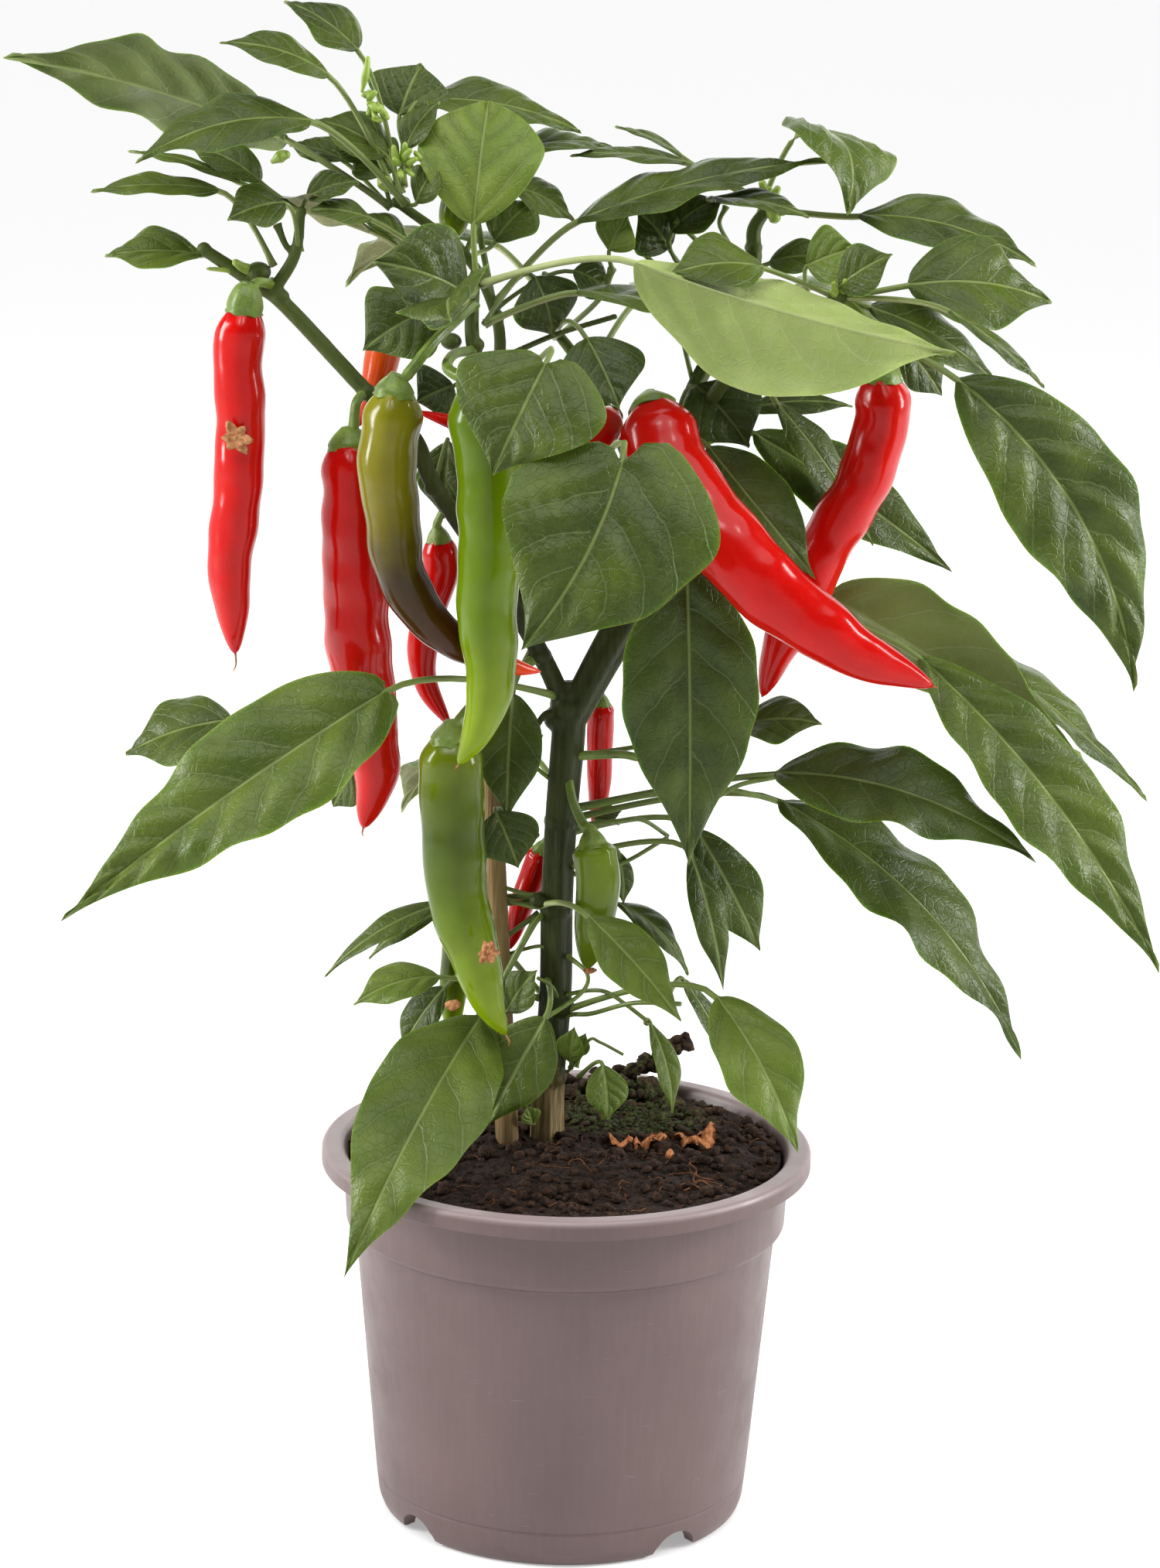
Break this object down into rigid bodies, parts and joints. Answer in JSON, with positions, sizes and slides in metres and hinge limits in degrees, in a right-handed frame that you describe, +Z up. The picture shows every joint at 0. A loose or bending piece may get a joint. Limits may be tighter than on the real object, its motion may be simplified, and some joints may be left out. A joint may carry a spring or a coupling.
{
  "type": "potted chilli pepper plant",
  "caption": "Chilli pepper plant in a round nursery pot: staked woody stem, long hanging fruits from green to red, and arching pointed leaves over dark potting soil.",
  "frame": {"origin": "centre of the pot's foot ring, on the ground", "axes": "+Z up along the pot's axis, -Y the front, +X to the right seen from the front"},
  "size_m": [0.395, 0.2222, 0.5217],
  "materials": {
    "pot": "satin",
    "soil": "matte",
    "stake": "matte",
    "stem": "satin",
    "leaf": "satin",
    "pepper_red": "gloss",
    "pepper_orange": "gloss",
    "pepper_brown": "gloss",
    "pepper_green": "gloss"
  },
  "bodies": {
    "root": {"pot": "pot", "soil": "soil", "stake": "stake", "stem": "stem", "leaf_upper_left_1": "leaf", "leaf_upper_left_2": "leaf", "leaf_upper_left_3": "leaf", "leaf_top": "leaf", "leaf_top_rear": "leaf", "leaf_top_round": "leaf", "leaf_upper_left_4": "leaf", "leaf_upper_left_5": "leaf", "leaf_right_top_1": "leaf", "leaf_right_top_2": "leaf", "leaf_right_top_3": "leaf", "leaf_right_crown_1": "leaf", "leaf_right_crown_2": "leaf", "leaf_right_crown_3": "leaf", "leaf_middle_pale": "leaf", "leaf_middle_dark": "leaf", "leaf_front_heart": "leaf", "leaf_front_long": "leaf", "leaf_front_upper": "leaf", "leaf_centre_1": "leaf", "leaf_centre_2": "leaf", "leaf_centre_3": "leaf", "leaf_centre_4": "leaf", "leaf_right_1": "leaf", "leaf_right_2": "leaf", "leaf_right_3": "leaf", "leaf_right_4": "leaf", "leaf_right_5": "leaf", "leaf_right_6": "leaf", "leaf_left_large": "leaf", "leaf_low_1": "leaf", "leaf_low_2": "leaf", "leaf_low_3": "leaf", "leaf_low_4": "leaf", "leaf_low_5": "leaf", "leaf_low_6": "leaf", "leaf_low_7": "leaf", "leaf_back_1": "leaf", "leaf_back_2": "leaf", "leaf_back_3": "leaf", "leaf_back_4": "leaf", "pepper_left_red": "pepper_red", "pepper_centre_red": "pepper_red", "pepper_brown": "pepper_brown", "pepper_front_green": "pepper_green", "pepper_lower_green": "pepper_green", "pepper_behind_red": "pepper_red", "pepper_behind_orange": "pepper_orange", "pepper_crosswise_red": "pepper_red", "pepper_front_red": "pepper_red", "pepper_right_red": "pepper_red", "pepper_small_green": "pepper_green", "pepper_trunk_red_1": "pepper_red", "pepper_trunk_red_2": "pepper_red", "pepper_behind_green": "pepper_green", "pepper_top_green": "pepper_green"}
  },
  "joints": []
}
